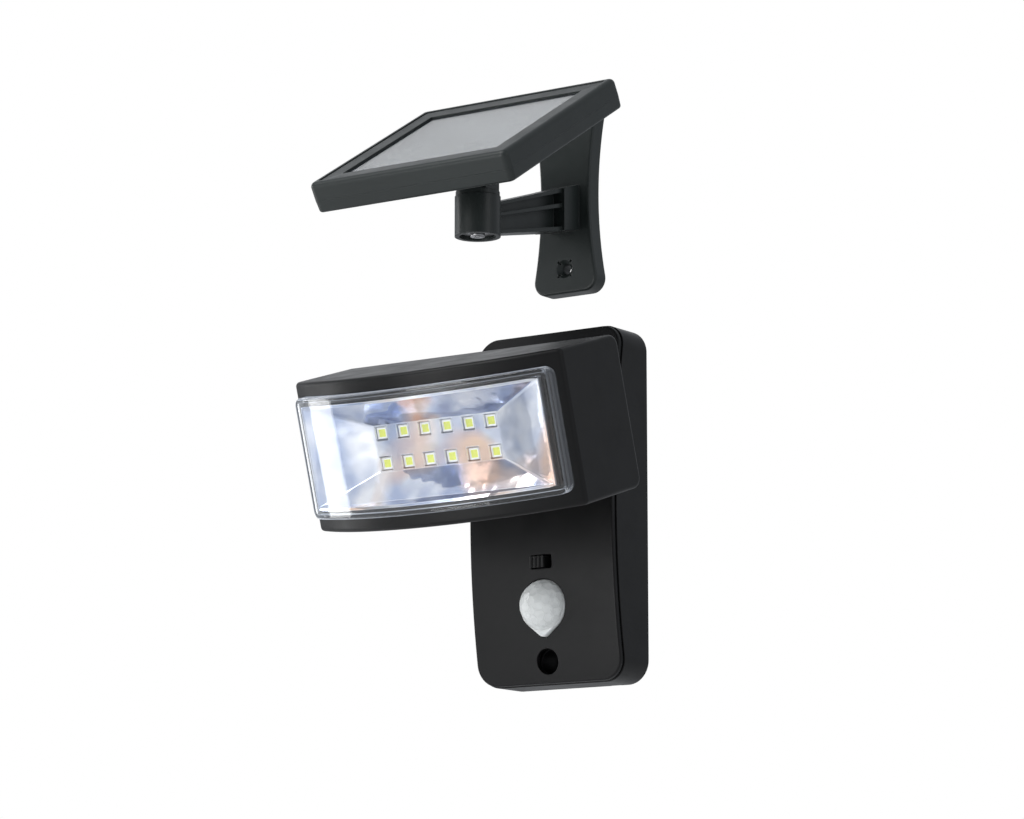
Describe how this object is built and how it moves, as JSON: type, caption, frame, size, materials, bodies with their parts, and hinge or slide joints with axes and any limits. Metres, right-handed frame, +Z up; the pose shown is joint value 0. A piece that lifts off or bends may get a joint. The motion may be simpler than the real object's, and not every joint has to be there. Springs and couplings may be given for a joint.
{
  "type": "solar flood light",
  "caption": "Wall-mounted solar flood light: curved-lens lamp head on a swivel neck over a sensor base, with a tilting solar panel on its own wall bracket.",
  "frame": {"origin": "middle of the lamp base's back face, on the wall", "axes": "+Z up, -Y out of the wall towards the viewer, +X to the right seen from the front"},
  "size_m": [0.141, 0.1393, 0.27],
  "materials": {
    "housing_plastic": "near-black satin with a very fine grain",
    "bracket_plastic": "dark grey satin",
    "seal_rubber": "matt black",
    "steel": "zinc plated",
    "sensor_plastic": "white, slightly see-through, faceted",
    "inner_plastic": "plain black",
    "sensor_can": "satin metal can",
    "board": "white solder mask",
    "battery_wrap": "shrink-wrapped",
    "knob_plastic": "satin black",
    "clear_plastic": "clear and glossy",
    "mirror_plastic": "metallised, mirror bright",
    "led": "white package with a pale yellow face",
    "cover_glass": "smooth, slightly tinted",
    "cells": "dark blue-grey"
  },
  "bodies": {
    "wall_parts": {"rear_housing": "housing_plastic", "front_cover": "housing_plastic", "cover_seal": "seal_rubber", "cover_screws": "steel", "cable_grommet": "seal_rubber", "sensor_dome": "sensor_plastic", "dome_clip": "inner_plastic", "motion_sensor": "sensor_can", "control_board": "board", "switch_body": "inner_plastic", "battery_cells": "battery_wrap", "battery_tray": "inner_plastic", "swivel_pin": "steel", "swivel_nut": "steel", "panel_bracket": "bracket_plastic"},
    "switch_slider": {"switch_knob": "knob_plastic"},
    "neck_link": {"neck": "housing_plastic"},
    "lamp_head": {"head_shell": "housing_plastic", "head_rear_cover": "housing_plastic", "head_grommet": "seal_rubber", "head_cover_screws": "steel", "lens": "clear_plastic", "lens_seal": "seal_rubber", "reflector": "mirror_plastic", "reflector_screws": "steel", "led_board": "board", "led_board_screws": "steel", "led_chips": "led", "tilt_bolt": "steel", "tilt_nut": "steel"},
    "panel_post": {"swivel_post": "bracket_plastic", "post_washer": "steel", "post_screw": "steel", "panel_bolt": "steel", "panel_nut": "steel"},
    "panel_unit": {"panel_frame": "bracket_plastic", "panel_glass": "cover_glass", "solar_cells": "cells", "panel_seal": "seal_rubber", "panel_back": "bracket_plastic", "panel_foot": "bracket_plastic", "foot_screws": "steel", "panel_screws": "steel", "panel_grommet": "seal_rubber"}
  },
  "joints": [
    {"name": "switch_slide", "type": "slide", "parent": "wall_parts", "child": "switch_slider", "axis": [1, 0, 0], "range_m": [0, 0.0034]},
    {"name": "head_swivel", "type": "hinge", "parent": "wall_parts", "child": "neck_link", "pos_m": [0, -0.0405, 0.0334], "axis": [0, 0, 1], "range_deg": [-15, 15]},
    {"name": "head_tilt", "type": "hinge", "parent": "neck_link", "child": "lamp_head", "pos_m": [0, -0.0555, 0.0334], "axis": [1, 0, 0], "range_deg": [-30, 20]},
    {"name": "panel_swivel", "type": "hinge", "parent": "wall_parts", "child": "panel_post", "pos_m": [0, -0.077, 0.1225], "axis": [0, 0, 1], "range_deg": [-25, 25]},
    {"name": "panel_tilt", "type": "hinge", "parent": "panel_post", "child": "panel_unit", "pos_m": [0, -0.077, 0.1398], "axis": [1, 0, 0], "range_deg": [-26, 24]}
  ]
}
